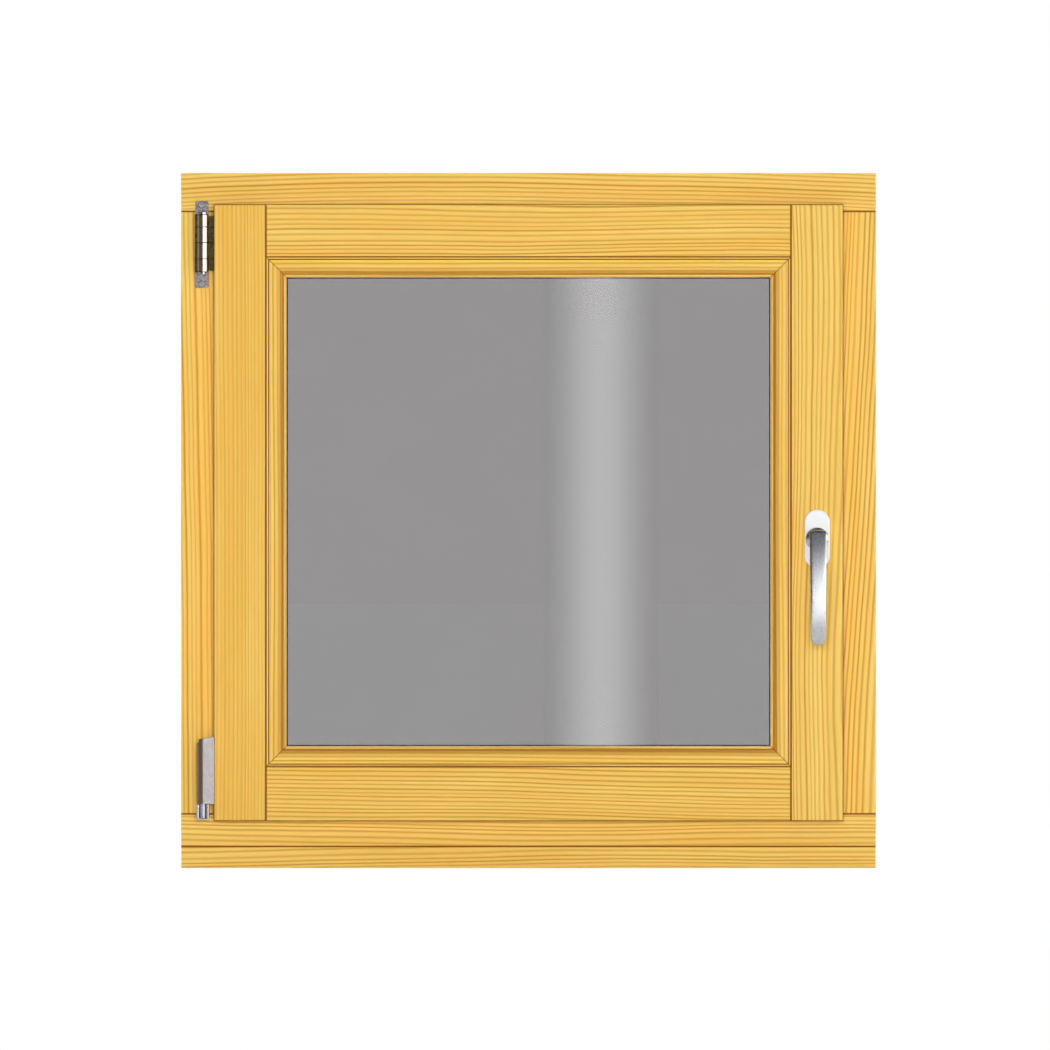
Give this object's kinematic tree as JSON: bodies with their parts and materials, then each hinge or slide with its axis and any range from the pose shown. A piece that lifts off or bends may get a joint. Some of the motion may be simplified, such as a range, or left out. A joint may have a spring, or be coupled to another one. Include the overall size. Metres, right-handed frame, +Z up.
{
  "type": "wooden window",
  "caption": "Square single-sash tilt-and-turn pine window for a masonry opening, hung on the left, double glazed, with a lever handle.",
  "frame": {"origin": "on the underside of the base board, at mid width and at mid depth of the frame profile", "axes": "+X to the right as seen from the room, +Y outdoors through the window, +Z up"},
  "size_m": [0.78, 0.1485, 0.78],
  "materials": {
    "pine": "clear satin varnish on knot-free pine",
    "glass": "float glass, double glazed",
    "spacer_aluminium": "mill finish",
    "glazing_seal": "light silicone",
    "frame_seal": "matt brown",
    "zinc_plated_steel": "worn zinc plating",
    "pin_steel": "plain turned steel",
    "rosette_coating": "white powder coating",
    "lever_aluminium": "satin anodised",
    "rail_aluminium": "natural anodised",
    "cap_plastic": "moulded"
  },
  "bodies": {
    "window": {"frame_head": "pine", "frame_sill": "pine", "frame_jamb_left": "pine", "frame_jamb_right": "pine", "base_board": "pine", "sash_stile_left": "pine", "sash_stile_right": "pine", "sash_rail_top": "pine", "sash_rail_bottom": "pine", "glazing_bead_top": "pine", "glazing_bead_bottom": "pine", "glazing_bead_left": "pine", "glazing_bead_right": "pine", "glass_pane_inner": "glass", "glass_pane_outer": "glass", "glass_spacer": "spacer_aluminium", "inner_glazing_seal": "glazing_seal", "outer_glazing_seal": "glazing_seal", "overlap_seal": "frame_seal", "hinge_bracket": "zinc_plated_steel", "hinge_arm": "zinc_plated_steel", "corner_band": "zinc_plated_steel", "corner_bearing": "zinc_plated_steel", "bracket_screws": "zinc_plated_steel", "hinge_pin": "pin_steel", "bearing_pin": "pin_steel", "handle_rosette": "rosette_coating", "rain_rail": "rail_aluminium", "rain_rail_cap_left": "cap_plastic", "rain_rail_cap_right": "cap_plastic"},
    "handle": {"handle_lever": "lever_aluminium", "handle_spindle": "pin_steel"}
  },
  "joints": [
    {"name": "handle_turn", "type": "hinge", "parent": "window", "child": "handle", "pos_m": [0.32335, -0.064, 0.3692], "axis": [0, 1, 0], "range_deg": [0, 180]}
  ]
}
